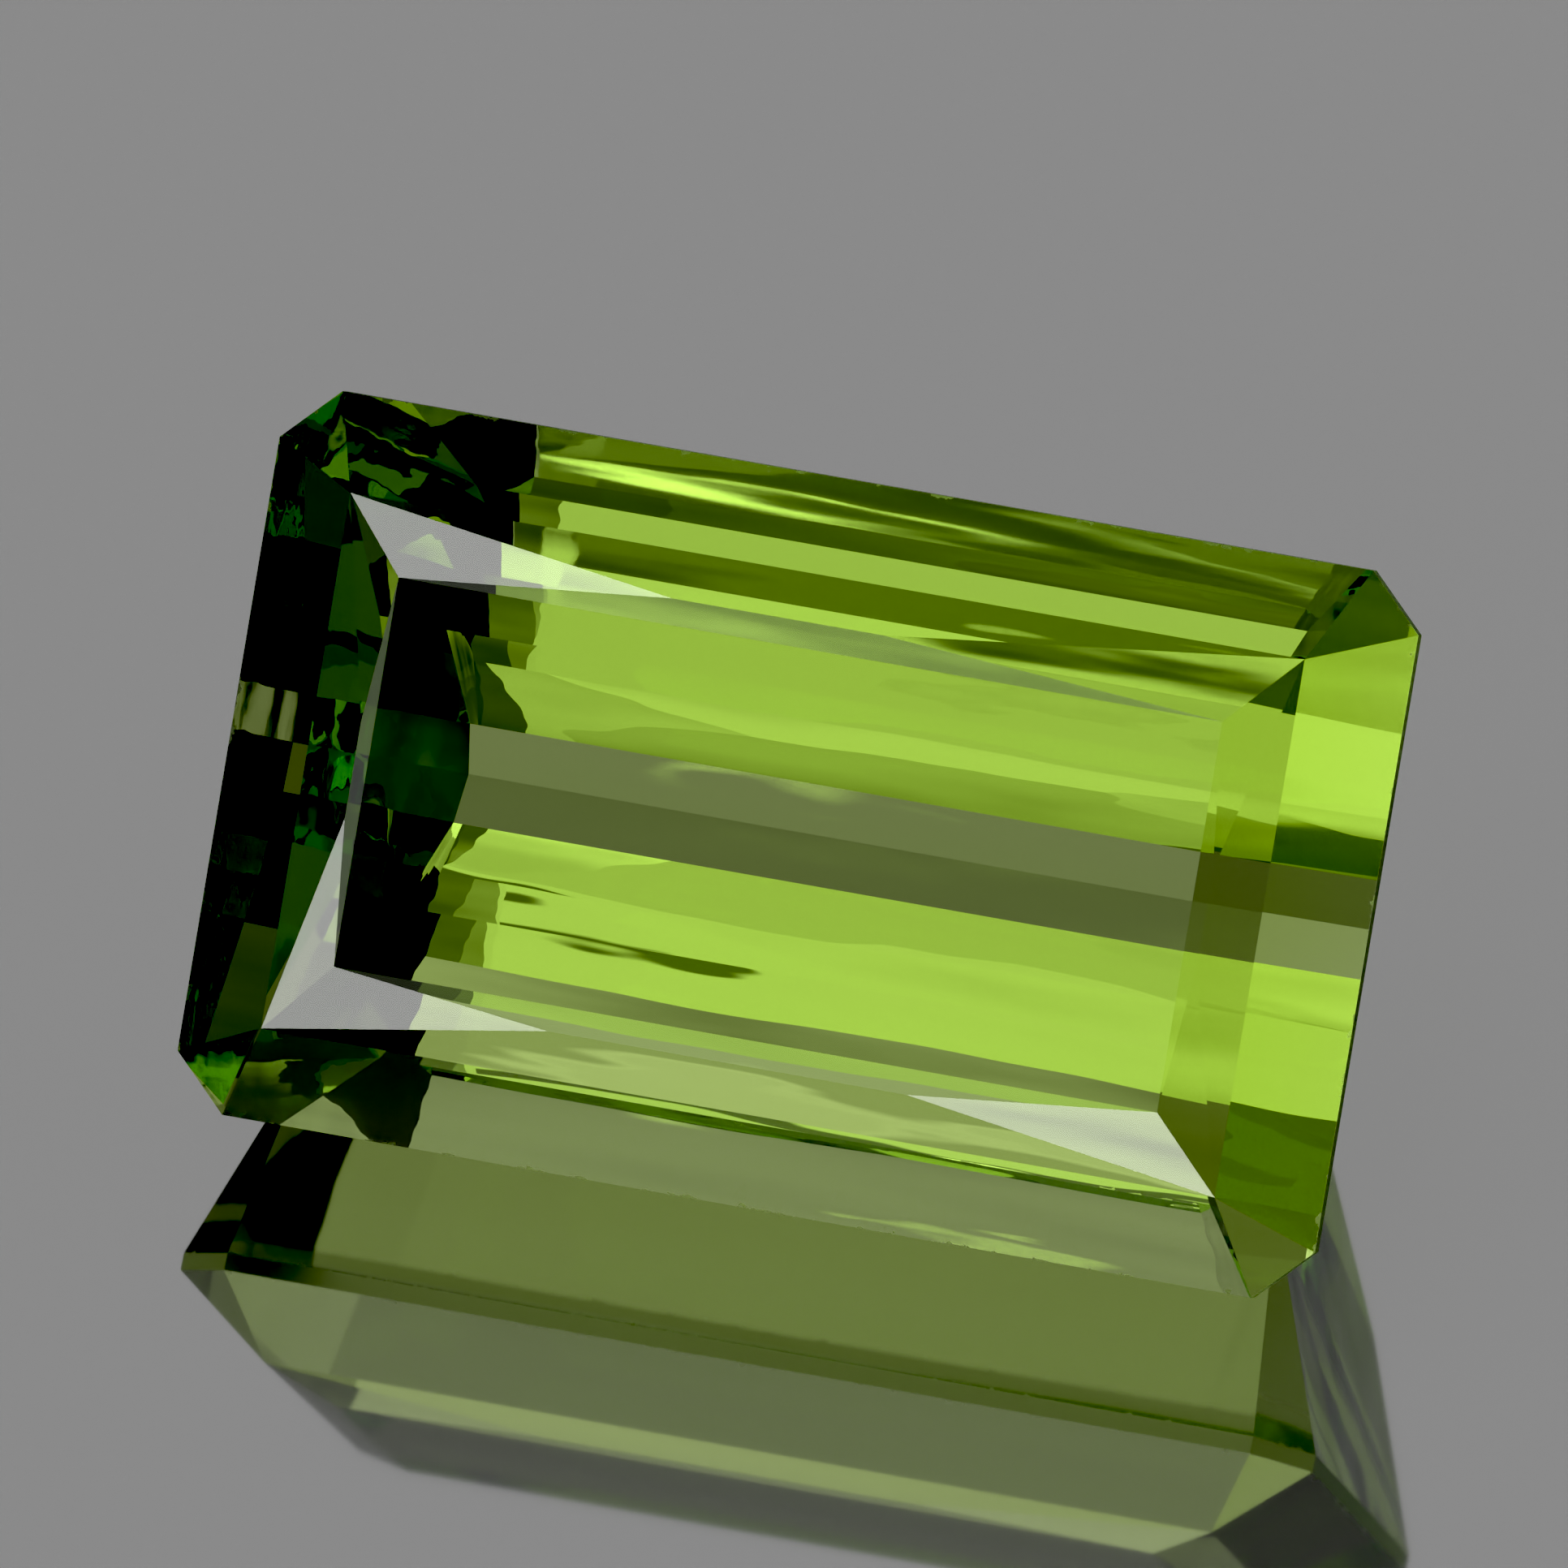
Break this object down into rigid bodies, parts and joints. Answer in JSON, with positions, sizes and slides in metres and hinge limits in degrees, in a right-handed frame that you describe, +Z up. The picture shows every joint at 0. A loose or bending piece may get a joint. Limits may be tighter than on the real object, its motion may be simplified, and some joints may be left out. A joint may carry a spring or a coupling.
{
  "type": "cut gemstone",
  "caption": "Cut diaspore gemstone: rectangle with cut corners, flat table, scissor-cut crown and a deep underside, lying on one long facet.",
  "frame": {"origin": "on the ground under the middle of the stone's outer box", "axes": "+X along the stone's long axis, +Z up, and the table faces -Y and up"},
  "size_m": [0.012, 0.0068, 0.0068],
  "materials": {
    "diaspore": "polished see-through yellow-green crystal with a finely ground girdle"
  },
  "bodies": {
    "root": {"gemstone": "diaspore"}
  },
  "joints": []
}
